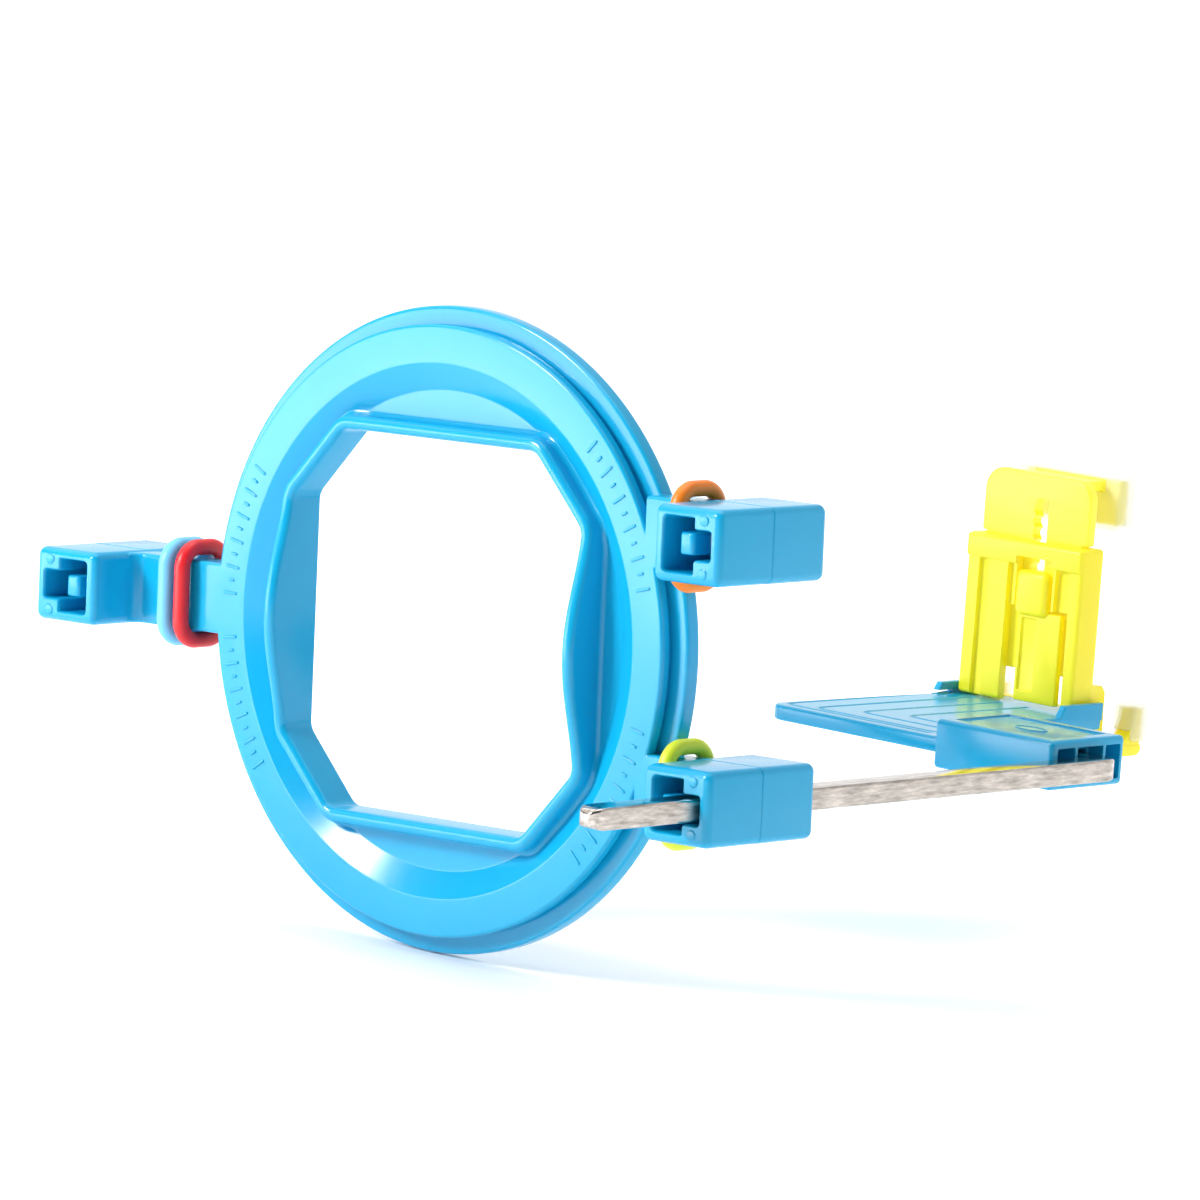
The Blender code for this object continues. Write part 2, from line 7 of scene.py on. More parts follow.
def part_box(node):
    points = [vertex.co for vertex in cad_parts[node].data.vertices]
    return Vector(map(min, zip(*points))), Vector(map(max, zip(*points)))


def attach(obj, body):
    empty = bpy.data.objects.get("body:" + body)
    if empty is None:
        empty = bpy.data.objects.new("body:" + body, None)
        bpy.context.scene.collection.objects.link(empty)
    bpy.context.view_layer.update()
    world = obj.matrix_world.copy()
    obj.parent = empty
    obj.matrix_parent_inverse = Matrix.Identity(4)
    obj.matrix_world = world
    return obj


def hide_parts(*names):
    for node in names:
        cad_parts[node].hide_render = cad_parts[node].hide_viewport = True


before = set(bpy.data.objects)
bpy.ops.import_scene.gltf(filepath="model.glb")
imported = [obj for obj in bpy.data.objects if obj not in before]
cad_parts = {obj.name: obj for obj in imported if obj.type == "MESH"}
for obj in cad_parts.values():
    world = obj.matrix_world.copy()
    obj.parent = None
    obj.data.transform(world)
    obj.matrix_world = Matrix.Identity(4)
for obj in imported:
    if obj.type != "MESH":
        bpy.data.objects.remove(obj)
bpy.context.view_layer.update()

# ---------------------------------------------------------------- frames of reference
MM = 0.001
_lo, _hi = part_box("indicator_arm")
ARM_X = _hi.x * 1000 - 2.0
ARM_Z = (_lo.z + _hi.z) / 2 * 1000
_lo, _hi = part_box("aiming_ring")
ARM_Y = _hi.y * 1000 - 5.0
HOLD = Matrix.Translation(Vector((ARM_X, ARM_Y, ARM_Z)) * MM) @ Matrix.Scale(MM, 4)
RING_C = (-56.22, 0.0, 15.26)
RING = (Matrix.Translation(Vector((ARM_X + RING_C[0], ARM_Y, ARM_Z + RING_C[2])) * MM)
        @ Matrix.Rotation(math.radians(-2.5), 4, 'Y') @ Matrix.Scale(MM, 4))
scene = bpy.context.scene
coll = scene.collection


# ---------------------------------------------------------------- mesh helpers (all in mm)
def rounded(pts, radii, segs=5):
    out, n = [], len(pts)
    for i in range(n):
        p = Vector(pts[i])
        a, b = Vector(pts[i - 1]) - p, Vector(pts[(i + 1) % n]) - p
        la, lb = a.length, b.length
        a.normalize()
        b.normalize()
        r = radii[i] if isinstance(radii, (list, tuple)) else radii
        ang = a.angle(b)
        if r <= 0 or ang > math.pi - 0.01:
            out.append(tuple(p))
            continue
        t = min(r / math.tan(ang / 2), la * 0.49, lb * 0.49)
        r = t * math.tan(ang / 2)
        c = p + (a + b).normalized() * (r / math.sin(ang / 2))
        s, e = p + a * t - c, p + b * t - c
        sweep = s.angle(e)
        sign = 1 if s.x * e.y - s.y * e.x > 0 else -1
        for k in range(segs + 1):
            th = sign * sweep * k / segs
            out.append((c.x + s.x * math.cos(th) - s.y * math.sin(th),
                        c.y + s.x * math.sin(th) + s.y * math.cos(th)))
    return out


def normals2(pts):
    n = len(pts)
    area = sum(pts[i][0] * pts[(i + 1) % n][1] - pts[(i + 1) % n][0] * pts[i][1] for i in range(n))
    s = 1 if area > 0 else -1
    out = []
    for i in range(n):
        p, a, b = Vector(pts[i]), Vector(pts[i - 1]), Vector(pts[(i + 1) % n])
        d1, d2 = (p - a).normalized(), (b - p).normalized()
        n1, n2 = Vector((d1.y, -d1.x)) * s, Vector((d2.y, -d2.x)) * s
        m = (n1 + n2).normalized()
        out.append(m / max(0.5, m.dot(n1)))
    return out


def skin(bm, rings, cap=True):
    vs = [[bm.verts.new(p) for p in ring] for ring in rings]
    n = len(vs[0])
    for a, b in zip(vs[:-1], vs[1:]):
        for i in range(n):
            bm.faces.new((a[i], a[(i + 1) % n], b[(i + 1) % n], b[i]))
    if cap:
        bm.faces.new(vs[0])
        bm.faces.new(list(reversed(vs[-1])))
    else:
        a, b = vs[-1], vs[0]
        for i in range(n):
            bm.faces.new((a[i], a[(i + 1) % n], b[(i + 1) % n], b[i]))


PLANES = {'XY': lambda a, b, h: (a, b, h), 'XZ': lambda a, b, h: (a, h, b), 'YZ': lambda a, b, h: (h, a, b)}


def slab(bm, outline, plane, lo, hi, edge=0.0, segs=4, edge_hi=None):
    """Extrude an outline between two levels with rounded rims."""
    nrm = normals2(outline)
    put = PLANES[plane]
    eh = edge if edge_hi is None else edge_hi
    levels = []
    if edge > 0:
        for k in range(segs + 1):
            t = math.pi / 2 * k / segs
            levels.append((lo + edge * (1 - math.cos(t)), -edge * (1 - math.sin(t))))
    else:
        levels.append((lo, 0.0))
    if eh > 0:
        for k in range(segs + 1):
            t = math.pi / 2 * (1 - k / segs)
            levels.append((hi - eh * (1 - math.cos(t)), -eh * (1 - math.sin(t))))
    else:
        levels.append((hi, 0.0))
    skin(bm, [[put(p[0] + d.x * o, p[1] + d.y * o, h) for p, d in zip(outline, nrm)] for h, o in levels])


def raw(name, bm):
    """A mesh object in plain millimetres, used while shapes are combined."""
    bmesh.ops.remove_doubles(bm, verts=bm.verts, dist=0.0008)
    bmesh.ops.recalc_face_normals(bm, faces=bm.faces)
    me = bpy.data.meshes.new(name)
    bm.to_mesh(me)
    bm.free()
    ob = bpy.data.objects.new(name, me)
    coll.objects.link(ob)
    return ob


def rbox(x0, x1, y0, y1, z0, z1, r=0.0, segs=4, name="tmp"):
    bm = bmesh.new()
    bmesh.ops.create_cube(bm, size=1.0)
    for v in bm.verts:
        v.co = Vector(((x0 + x1) / 2 + v.co.x * (x1 - x0), (y0 + y1) / 2 + v.co.y * (y1 - y0),
                       (z0 + z1) / 2 + v.co.z * (z1 - z0)))
    if r > 0:
        bmesh.ops.bevel(bm, geom=list(bm.edges), offset=r, offset_type='OFFSET', segments=segs,
                        profile=0.5, affect='EDGES', clamp_overlap=True)
    return raw(name, bm)


def slab_ob(outline, plane, lo, hi, edge=0.0, segs=4, edge_hi=None, name="tmp"):
    bm = bmesh.new()
    slab(bm, outline, plane, lo, hi, edge, segs, edge_hi)
    return raw(name, bm)


def combine(ob, others, op):
    """EXACT booleans, applied straight away; the other objects are used up."""
    for other in others:
        m = ob.modifiers.new("b", 'BOOLEAN')
        m.solver = 'EXACT'
        m.operation = op
        m.object = other
        dg = bpy.context.evaluated_depsgraph_get()
        new = bpy.data.meshes.new_from_object(ob.evaluated_get(dg))
        ob.modifiers.clear()
        old = ob.data
        ob.data = new
        bpy.data.meshes.remove(old)
        om = other.data
        bpy.data.objects.remove(other, do_unlink=True)
        bpy.data.meshes.remove(om)
    return ob


def place(ob, name, base, mat, body, replaced=(), slot=None, smooth=32.0):
    ob.data.transform(base)
    ob.data.validate()
    ob.name = name
    ob.data.name = name
    ob.data.materials.clear()
    ob.data.materials.append(mat)
    for p in ob.data.polygons:
        p.material_index = 0
        p.use_smooth = True
    ob.data.set_sharp_from_angle(angle=math.radians(smooth))
    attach(ob, body)
    if replaced:
        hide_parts(*replaced)
    return ob


# ---------------------------------------------------------------- materials
def nodes_of(name):
    m = bpy.data.materials.new(name)
    m.use_nodes = True
    nt = m.node_tree
    return m, nt, nt.nodes["Principled BSDF"]


def noise(nt, coord, scale, detail=2.0, rough=0.5, stretch=(1, 1, 1)):
    mp = nt.nodes.new("ShaderNodeMapping")
    mp.inputs["Scale"].default_value = stretch
    nt.links.new(coord.outputs["Object"], mp.inputs["Vector"])
    n = nt.nodes.new("ShaderNodeTexNoise")
    n.inputs["Scale"].default_value = scale
    n.inputs["Detail"].default_value = detail
    n.inputs["Roughness"].default_value = rough
    nt.links.new(mp.outputs["Vector"], n.inputs["Vector"])
    return n


def mapped(nt, src, a, b, lo=0.0, hi=1.0):
    r = nt.nodes.new("ShaderNodeMapRange")
    r.inputs["From Min"].default_value = lo
    r.inputs["From Max"].default_value = hi
    r.inputs["To Min"].default_value = a
    r.inputs["To Max"].default_value = b
    nt.links.new(src, r.inputs["Value"])
    return r.outputs["Result"]


def mixed(nt, fac, c1, c2):
    m = nt.nodes.new("ShaderNodeMix")
    m.data_type = 'RGBA'
    m.inputs["A"].default_value = (*c1, 1)
    m.inputs["B"].default_value = (*c2, 1)
    nt.links.new(fac, m.inputs["Factor"])
    return m.outputs["Result"]


def bump(nt, height, dist, strength=1.0, normal=None):
    b = nt.nodes.new("ShaderNodeBump")
    b.inputs["Distance"].default_value = dist
    b.inputs["Strength"].default_value = strength
    nt.links.new(height, b.inputs["Height"])
    if normal is not None:
        nt.links.new(normal, b.inputs["Normal"])
    return b.outputs["Normal"]


def edge_round(nt, radius):
    b = nt.nodes.new("ShaderNodeBevel")
    b.samples = 6
    b.inputs["Radius"].default_value = radius
    return b.outputs["Normal"]


def plastic(name, deep, light, rough=(0.24, 0.34), sss=0.0, sss_scale=0.003, sss_rad=(1, 1, 1),
            coat=0.2, edge=0.00022, peel=0.000002, trans=0.0, ior=1.49,
            painted_glow=0.0, alpha=1.0, spec=0.5):
    m, nt, p = nodes_of(name)
    co = nt.nodes.new("ShaderNodeTexCoord")
    big = noise(nt, co, 38.0, 3.0)
    nt.links.new(mixed(nt, mapped(nt, big.outputs["Fac"], 0, 1, 0.3, 0.7), deep, light), p.inputs["Base Color"])
    fine = noise(nt, co, 900.0, 3.0, 0.6)
    nt.links.new(mapped(nt, fine.outputs["Fac"], rough[0], rough[1], 0.35, 0.65), p.inputs["Roughness"])
    grain = noise(nt, co, 2600.0, 2.0)
    n0 = edge_round(nt, edge)
    n2 = bump(nt, grain.outputs["Fac"], peel, 0.15, n0) if peel else n0
    nt.links.new(n2, p.inputs["Normal"])
    p.inputs["IOR"].default_value = ior
    p.inputs["Coat Weight"].default_value = coat
    p.inputs["Coat Roughness"].default_value = 0.09
    if sss:
        p.inputs["Subsurface Weight"].default_value = sss
        p.inputs["Subsurface Scale"].default_value = sss_scale
        p.inputs["Subsurface Radius"].default_value = sss_rad
    if trans:
        p.inputs["Transmission Weight"].default_value = trans
    # painted glow: the plastic emits its lighter colour, brightening it as if lit, though it is no lamp
    if painted_glow:
        p.inputs["Emission Color"].default_value = (*light, 1)
        p.inputs["Emission Strength"].default_value = painted_glow
    p.inputs["Alpha"].default_value = alpha
    p.inputs["Specular IOR Level"].default_value = spec
    return m


BLUE = plastic("blue_plastic", (0.003, 0.380, 0.660), (0.006, 0.410, 0.700), rough=(0.17, 0.20), sss=0.10,
               sss_scale=0.0015, sss_rad=(0.2, 0.8, 1.0), coat=0.10, spec=0.45)
# the yellow clamp plastics carry a painted glow; the slider's paler copy glows the most
YELLOW = plastic("yellow_plastic", (1.0, 0.80, 0.010), (1.0, 0.86, 0.020), rough=(0.34, 0.40), sss=0.35,
                 sss_scale=0.0025, sss_rad=(1.0, 0.85, 0.10), coat=0.1, painted_glow=0.10)
YELLOW_PALE = plastic("yellow_plastic_pale_painted_glow", (1.0, 0.87, 0.035), (1.0, 0.91, 0.065), rough=(0.34, 0.40), sss=0.45,
                      sss_scale=0.0030, sss_rad=(1.0, 0.9, 0.30), coat=0.1, painted_glow=0.13)
# a slightly deeper, more translucent yellow, used for the pawl lever
YELLOW_DEEP = plastic("yellow_plastic_deeper", (1.0, 0.80, 0.008), (1.0, 0.84, 0.012), rough=(0.32, 0.38),
                      sss=0.45, sss_scale=0.003, sss_rad=(1.0, 0.8, 0.08), coat=0.1, painted_glow=0.10)
SILICONE = plastic("milky_silicone", (0.90, 0.88, 0.66), (0.93, 0.91, 0.72), rough=(0.28, 0.32), coat=0.0,
                   ior=1.40, edge=0.0003, peel=0.0, alpha=0.33)


def rubber(name, c1, c2, sss=0.1):
    return plastic(name, c1, c2, rough=(0.30, 0.42), sss=sss, sss_scale=0.002, sss_rad=(1, 0.6, 0.5), coat=0.05,
                   peel=0.00001)


RED = rubber("red_elastic", (0.78, 0.006, 0.012), (0.84, 0.012, 0.020))
SKY = rubber("sky_elastic", (0.16, 0.58, 0.90), (0.20, 0.64, 0.95))
ORANGE = rubber("orange_elastic", (1.0, 0.220, 0.006), (1.0, 0.260, 0.010))
LIME = rubber("lime_elastic", (0.74, 0.84, 0.02), (0.80, 0.90, 0.035))


def steel():
    m, nt, p = nodes_of("drawn_steel")
    co = nt.nodes.new("ShaderNodeTexCoord")
    p.inputs["Metallic"].default_value = 1.0
    # how far a surface looks sideways (the drawn faces) rather than up or along (the polished ones)
    sep = nt.nodes.new("ShaderNodeSeparateXYZ")
    nt.links.new(co.outputs["Normal"], sep.inputs["Vector"])
    ab = nt.nodes.new("ShaderNodeMath")
    ab.operation = 'ABSOLUTE'
    nt.links.new(sep.outputs["X"], ab.inputs[0])
    side = mapped(nt, ab.outputs[0], 0, 1, 0.94, 0.995)
    streak = noise(nt, co, 1500.0, 5.0, 0.65, (1.0, 0.16, 1.0))
    pits = noise(nt, co, 1500.0, 4.0, 0.7, (1.0, 0.45, 1.0))
    base = mixed(nt, mapped(nt, streak.outputs["Fac"], 0, 1, 0.3, 0.7), (0.30, 0.262, 0.232), (0.76, 0.69, 0.62))
    nt.links.new(base, p.inputs["Base Color"])
    mul = nt.nodes.new("ShaderNodeMath")
    mul.operation = 'MULTIPLY_ADD'
    nt.links.new(side, mul.inputs[0])
    mul.inputs[1].default_value = 0.24
    mul.inputs[2].default_value = 0.13
    nt.links.new(mul.outputs[0], p.inputs["Roughness"])
    st = nt.nodes.new("ShaderNodeMath")
    st.operation = 'MULTIPLY'
    nt.links.new(side, st.inputs[0])
    nt.links.new(pits.outputs["Fac"], st.inputs[1])
    n1 = bump(nt, st.outputs[0], 0.000030, 0.9)
    n2 = bump(nt, streak.outputs["Fac"], 0.000004, 0.5, n1)
    nt.links.new(n2, p.inputs["Normal"])
    return m


STEEL = steel()

# ---------------------------------------------------------------- ring moulding
W_OPEN, H_OPEN, CZ, CX, R_OPEN = 27.5, 26.6, 16.6, 18.2, 2.6
WALL = 2.0


def contour():
    pts = [(W_OPEN, -CZ), (W_OPEN, CZ), (CX, H_OPEN), (-CX, H_OPEN), (-W_OPEN, CZ), (-W_OPEN, -CZ),
           (-CX, -H_OPEN), (CX, -H_OPEN)]
    pts = rounded(pts, R_OPEN, 8)
    out, n = [], len(pts)
    for i in range(n):
        a, b = Vector(pts[i]), Vector(pts[(i + 1) % n])
        out.append(tuple(a))
        steps = int((b - a).length // 0.8)
        for k in range(1, steps):
            out.append(tuple(a.lerp(b, k / steps)))
    return out


def rim_y(z):
    t = min(1.0, abs(z) / 19.0)
    return -1.1 - 3.1 * math.cos(t * math.pi / 2) ** 2


def arc(c, r, a0, a1, n):
    return [(c[0] + r * math.cos(math.radians(a0 + (a1 - a0) * k / n)),
             c[1] + r * math.sin(math.radians(a0 + (a1 - a0) * k / n))) for k in range(n + 1)]


def fillet_line(pts, radii, segs=5):
    """Round the inner corners of an open line of (r, y) points."""
    out = [pts[0]]
    for i in range(1, len(pts) - 1):
        p, a, b = Vector(pts[i]), Vector(pts[i - 1]), Vector(pts[i + 1])
        u, w = (a - p), (b - p)
        la, lb = u.length, w.length
        u.normalize()
        w.normalize()
        ang = u.angle(w)
        r = radii[i]
        if r <= 0 or ang > math.pi - 0.02:
            out.append(pts[i])
            continue
        t = min(r / math.tan(ang / 2), la * 0.45, lb * 0.45)
        r = t * math.tan(ang / 2)
        c = p + (u + w).normalized() * (r / math.sin(ang / 2))
        s, e = p + u * t - c, p + w * t - c
        sweep = s.angle(e)
        sign = 1 if s.x * e.y - s.y * e.x > 0 else -1
        for k in range(segs + 1):
            th = sign * sweep * k / segs
            out.append((c.x + s.x * math.cos(th) - s.y * math.sin(th),
                        c.y + s.x * math.sin(th) + s.y * math.cos(th)))
    out.append(pts[-1])
    return out


# dish and outer flanges: (radius, y, fillet)
DISH = [(30.0, 2.0, 0), (33.4, 2.0, 0.35), (37.15, 0.0, 0.45), (42.5, 0.0, 0.45), (42.5, 1.62, 0.12),
        (41.7, 1.75, 0.25), (41.7, 2.42, 0.25), (45.0, 2.5, 0.5), (45.0, 5.0, 0.5), (39.4, 5.0, 0.3),
        (38.1, 3.9, 0.4), (37.0, 3.9, 0)]
dish_line = fillet_line([(r, y) for r, y, _ in DISH], [f for _, _, f in DISH], 6)


def dish_y(r):
    """Front surface of the dish at a radius."""
    for (r0, y0), (r1, y1) in zip(dish_line[:-1], dish_line[1:]):
        if r0 <= r <= r1 and r1 - r0 > 1e-9:
            return y0 + (y1 - y0) * (r - r0) / (r1 - r0)
    return 2.0


front_r = [p for p in dish_line if 32.5 < p[0] < 42.6 and p[1] <= 2.001]
cut_at = next(i for i, p in enumerate(dish_line) if p[0] >= 37.9 and p[1] < 0.4)
inner_part, outer_part = dish_line[:cut_at], dish_line[cut_at:]
ring_secs = []
cont = contour()
cnorm = normals2(cont)
for (x, z), d in zip(cont, cnorm):
    dn = d.normalized()
    yf = rim_y(z)
    sec = []

    def off(o, y):
        sec.append((x + d.x * o, y, z + d.y * o))
    foot = Vector((x + d.x * (WALL + 0.7), z + d.y * (WALL + 0.7)))
    fr = foot.length
    e = foot / fr
    yfoot = dish_y(max(fr, 30.5))
    off(0.0, 4.7)
    off(0.0, 3.0)
    off(0.0, yf + 1.0)
    for k in range(1, 10):
        a = math.pi * k / 10
        off(WALL / 2 - WALL / 2 * math.cos(a), yf + 1.0 - 1.0 * math.sin(a))
    off(WALL, yf + 1.0)
    off(WALL, (yf + 1.0 + yfoot - 0.7) / 2)
    for k in range(0, 6):
        a = math.pi / 2 * k / 5
        off(WALL + 0.7 - 0.7 * math.cos(a), yfoot - 0.7 + 0.7 * math.sin(a))
    for j, (r, y) in enumerate(inner_part):
        if j == 0:
            continue
        rr = max(r, fr + 0.04 * j)
        sec.append((e.x * rr, dish_y(rr) if rr > r else y, e.y * rr))
    for r, y in outer_part:
        sec.append((e.x * r, y, e.y * r))
    off(WALL + 0.5, 3.9)
    off(WALL + 0.15, 4.0)
    off(WALL, 4.25)
    off(WALL, 4.7)
    off(WALL - 0.3, 5.0)
    off(0.3, 5.0)
    ring_secs.append(sec)
bm = bmesh.new()
skin(bm, ring_secs, cap=False)
ring = raw("ring_tmp", bm)

SOCKETS = {"upper": (47.7, 1, 17.5, 17.65), "lower": (47.7, 1, -17.6, -17.83), "left": (58.6, -1, 0.3, 0.3)}


def rrect(cx, cz, hx, hz, r, segs=6):
    return rounded([(cx - hx, cz - hz), (cx + hx, cz - hz), (cx + hx, cz + hz), (cx - hx, cz + hz)], r, segs)


adds, cuts = [], []
for tag, (xin, side, zc, zs) in SOCKETS.items():
    cx = side * (xin + 6.0)
    # block with rounded ends and a parting line round it
    R = 1.15
    lv = [(-8.5 + R * (1 - math.cos(math.pi / 2 * k / 6)), R * (1 - math.sin(math.pi / 2 * k / 6))) for k in range(7)]
    lv += [(2.08, 0.0), (2.20, 0.10), (2.30, 0.10), (2.42, -0.02)]
    lv += [(13.3 - R * (1 - math.cos(math.pi / 2 * (1 - k / 6))), R * (1 - math.sin(math.pi / 2 * (1 - k / 6)))) for k in range(7)]
    bm = bmesh.new()
    skin(bm, [[(p[0], y, p[1]) for p in rrect(cx, zc, 6.0 - o, 5.2 - o, max(0.12, 1.2 - o))] for y, o in lv])
    block = raw("block_" + tag, bm)
    # neck, with a flare where it meets the block
    xs = sorted((side * 38.6, side * (xin + 1.5)))
    f = 1.7
    prof = [(side * 38.6, 0.0), (side * (xin - f), 0.0)]
    prof += [(side * (xin - f + f * math.sin(math.radians(a))), -f * (1 - math.cos(math.radians(a))))
             for a in (15, 30, 45, 60, 75, 88)]
    prof += [(side * (xin + 1.5), -f - 0.2), (side * (xin + 1.5), 5.0 + f + 0.2)]
    prof += [(side * (xin - f + f * math.sin(math.radians(a))), 5.0 + f * (1 - math.cos(math.radians(a))))
             for a in (88, 75, 60, 45, 30, 15)]
    prof += [(side * (xin - f), 5.0), (side * 38.6, 5.0)]
    neck = slab_ob(prof, 'XY', zc - 5.0, zc + 5.0, 0.5, 4)
    adds += [neck, block]
    # bore: wide part, narrow slot, and a small flare at the mouth

    def sx(a):
        return side * (xin + a)
    tee = [(sx(1.8), zc - 3.75), (sx(7.2), zc - 3.75), (sx(7.2), zs - 2.0), (sx(10.25), zs - 2.0),
           (sx(10.25), zs + 2.0), (sx(7.2), zs + 2.0), (sx(7.2), zc + 3.75), (sx(1.8), zc + 3.75)]
    tee = rounded(tee, [0.6, 0.15, 0.45, 0.4, 0.4, 0.45, 0.15, 0.6], 4)
    tn = normals2(tee)
    bm = bmesh.new()
    skin(bm, [[(p[0] + d.x * o, y, p[1] + d.y * o) for p, d in zip(tee, tn)]
              for y, o in ((-12.0, 0.30), (-8.52, 0.26), (-8.36, 0.12), (-8.15, 0.03), (-7.9, 0.0), (11.3, 0.0))])
    cuts.append(raw("bore_" + tag, bm))
    xa, xb = sorted((sx(5.3), sx(10.25)))
    cuts.append(rbox(xa, xb, 10.8, 17.0, zs - 2.0, zs + 2.0))
    # ejector marks beside the slot
    for dz in (-3.62, 3.62):
        bm = bmesh.new()
        circ = [(sx(9.1) + 0.78 * math.cos(2 * math.pi * k / 28), zc + dz + 0.74 * math.sin(2 * math.pi * k / 28))
                for k in range(28)]
        slab(bm, circ, 'XZ', -8.62, -8.0, 0.08, 2, 0.0)
        adds.append(raw("pin", bm))
combine(ring, adds, 'UNION')
combine(ring, cuts, 'DIFFERENCE')
place(ring, "ring_moulding", RING, BLUE, "ring",
      ("aiming_ring", "socket_left", "socket_upper", "socket_lower"), "blue_plastic", 28)

# raised index marks on the front face, four groups
bm = bmesh.new()
for a0, a1 in ((151, 178), (187, 214), (14, 45), (-45, -14)):
    n = 11
    for k in range(n):
        a = math.radians(a0 + (a1 - a0) * k / (n - 1))
        long = k % 2 == 0
        r0, r1 = (38.6, 41.1) if long else (39.3, 40.4)
        c, s = math.cos(a), math.sin(a)
        bar = rounded([(r0, -0.2), (r1, -0.2), (r1, 0.2), (r0, 0.2)], 0.18, 3)
        pts = [(p[0] * c - p[1] * s, p[0] * s + p[1] * c) for p in bar]
        slab(bm, pts, 'XZ', -0.18, 0.1, 0.09, 2, 0.0)
marks = raw("marks", bm)
place(marks, "index_marks", RING, BLUE, "ring", (), "blue_plastic", 40)

# spring tongues
for tag, (xin, side, zc, zs) in SOCKETS.items():
    body = {"left": "tongue_a", "upper": "tongue_b", "lower": "tongue_c"}[tag]
    shape = [(3.95, -7.7), (6.6, -7.7), (6.6, -4.3), (5.25, -1.3), (5.25, 10.95), (3.95, 10.95)]
    shape = rounded([(side * (xin + a), b) for a, b in shape], [0.75, 0.75, 0.8, 0.8, 0.15, 0.15], 5)
    t = slab_ob(shape, 'XY', zs - 1.5, zs + 1.5, 0.35, 4)
    base = RING
    if tag == "lower":
        root = Vector((side * (xin + 3.95 + 0.65), 10.55, zs))
        base = RING @ Matrix.Translation(root) @ Matrix.Rotation(math.radians(-4.6), 4, 'Z') @ Matrix.Translation(-root)
    place(t, "spring_tongue_" + tag, base, BLUE, body, ("tongue_" + tag,), "blue_plastic", 40)

# ---------------------------------------------------------------- elastic bands
BANDS = {"band_orange": (45.75, 17.5, 1.12, 6.50, 4.20, ORANGE), "band_lime": (45.65, -17.6, 1.12, 6.50, 4.20, LIME),
         "band_red": (-47.9, 0.4, 1.15, 6.60, 4.25, RED), "band_sky": (-51.1, 0.4, 1.15, 6.60, 4.25, SKY)}
for name, (x, zc, r, hh, hd, mat) in BANDS.items():
    path = rounded([(2.5 - hd, zc - hh), (2.5 + hd, zc - hh), (2.5 + hd, zc + hh), (2.5 - hd, zc + hh)], 3.0, 14)
    out = []
    for i, p in enumerate(path):
        q = path[(i + 1) % len(path)]
        out.append(p)
        L = math.dist(p, q)
        for k in range(1, int(L // 0.8)):
            f = k / int(L // 0.8)
            out.append((p[0] + (q[0] - p[0]) * f, p[1] + (q[1] - p[1]) * f))
    d = normals2(out)
    secs = []
    for i, ((y, z), n2) in enumerate(zip(out, d)):
        n2 = n2.normalized()
        wob = 0.10 * math.sin(2 * math.pi * i / len(out) + 1.0)
        secs.append([(x + wob + r * math.sin(2 * math.pi * k / 20), y + n2.x * r * math.cos(2 * math.pi * k / 20),
                      z + n2.y * r * math.cos(2 * math.pi * k / 20)) for k in range(20)])
    bm = bmesh.new()
    skin(bm, secs, cap=False)
    place(raw(name, bm), name + "_ring", RING, mat, "ring", (name,), name, 60)

# ---------------------------------------------------------------- indicator arm
sec = rounded([(-2.0, -1.55), (2.0, -1.55), (2.0, 1.55), (-2.0, 1.55)], 0.42, 5)
rings = []
TIP, TL = -28.2, 2.3
for k in range(13):
    t = math.pi / 2 * k / 12
    sc = max(0.03, math.sin(t) ** 0.75)
    sz = max(0.03, math.sin(t) ** 0.62)
    rings.append([(a * sc, TIP + TL * (1 - math.cos(t)), b * sz) for a, b in sec])
for y in (-20, -10, 0, 15, 30, 45, 60, 70):
    rings.append([(a, y, b) for a, b in sec])
XO, YO, RO, XI, YI, RI = 2.0, 81.4, 3.2, -2.0, 77.4, 0.3
for k in range(0, 17):
    th = math.pi / 2 * k / 16
    o = Vector((XO - RO + RO * math.cos(th), YO - RO + RO * math.sin(th)))
    i = Vector((XI - RI + RI * math.cos(th), YI - RI + RI * math.sin(th)))
    rings.append([(i.x + (o.x - i.x) * (a + 2) / 4, i.y + (o.y - i.y) * (a + 2) / 4, b) for a, b in sec])
rings.append([(-10.0, 79.4 + a, b) for a, b in sec])
rings.append([(-17.4, 79.4 + a, b) for a, b in sec])
rings.append([(-18.0, 79.4 + a * 0.8, b * 0.75) for a, b in sec])
bm = bmesh.new()
skin(bm, rings)
place(raw("arm", bm), "indicator_bar", HOLD, STEEL, "arm", ("indicator_arm",), "steel", 50)

# ---------------------------------------------------------------- bite block
outline = rounded([(-56.3, 71.1), (-23.5, 71.1), (-23.5, 86.7), (-28.7, 93.0), (-28.7, 114.0), (-53.5, 114.0),
                   (-53.5, 104.0)], [2.6, 0.6, 1.0, 4.0, 0.8, 0.8, 6.0], 8)
plate = slab_ob(outline, 'XY', -0.95, 1.27, 0.42, 5)
box = rbox(-24.3, -2.5, 71.0, 87.0, -3.15, 3.9, 0.7, 5)
adds = [box]
for x0 in (-53.5, -29.9):
    adds.append(slab_ob([(104.0, 0.4), (114.0, 0.4), (114.0, 2.95), (105.4, 2.95), (104.3, 1.27)], 'YZ',
                        x0 + 0.02, x0 + 1.18, 0.2, 3))
combine(plate, adds, 'UNION')
cuts = [rbox(-10.0, 0.0, 72.2, 76.0, -2.15, 2.75, 0.25, 3), rbox(-10.0, 0.0, 82.75, 86.0, -2.15, 2.75, 0.25, 3),
        rbox(-5.2, 0.0, 76.6, 82.2, -2.15, 2.75, 0.2, 3), rbox(-20.5, -5.0, 77.05, 81.75, -1.9, 1.9, 0.1, 2)]
# recess in the box's top, with a border
cuts.append(rbox(-22.6, -4.6, 73.2, 85.2, 3.62, 6.0, 0.2, 3))
